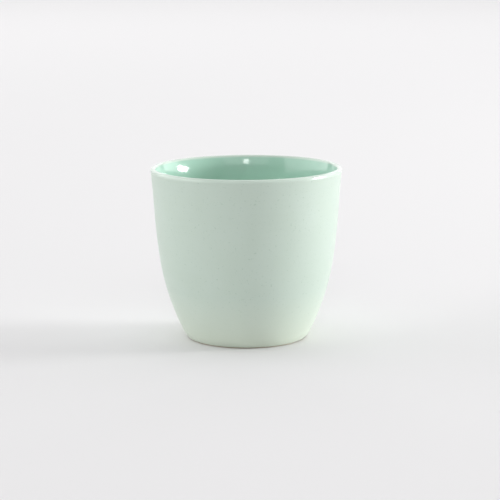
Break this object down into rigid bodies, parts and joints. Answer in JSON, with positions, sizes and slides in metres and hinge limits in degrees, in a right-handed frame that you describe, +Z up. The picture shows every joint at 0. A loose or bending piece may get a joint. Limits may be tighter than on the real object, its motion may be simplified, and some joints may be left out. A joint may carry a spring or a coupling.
{
  "type": "brush holder pot",
  "caption": "Small glazed porcelain pot, open at the top and tapering to a low foot ring, that stands on a desk and holds writing brushes or pens upright.",
  "frame": {"origin": "centre of the circle on which the foot ring stands", "axes": "+Z up along the axis on which the pot was turned; X and Y are alike, because the pot is round"},
  "size_m": [0.09, 0.09, 0.081],
  "materials": {
    "bare_porcelain": "unglazed fired porcelain, cream, fine dry grain, wiped smooth at the foot",
    "satin_celadon": "satin pale mint celadon glaze with a soft sheen, over the outside",
    "gloss_celadon": "glossy clear green celadon glaze, deeper where it pools and pale where it thins over the lip",
    "foot_celadon": "glossy celadon glaze brushed thinly in the recess of the foot"
  },
  "bodies": {
    "root": {"clay_body": "bare_porcelain", "outer_glaze": "satin_celadon", "liner_glaze": "gloss_celadon", "recess_glaze": "foot_celadon"}
  },
  "joints": []
}
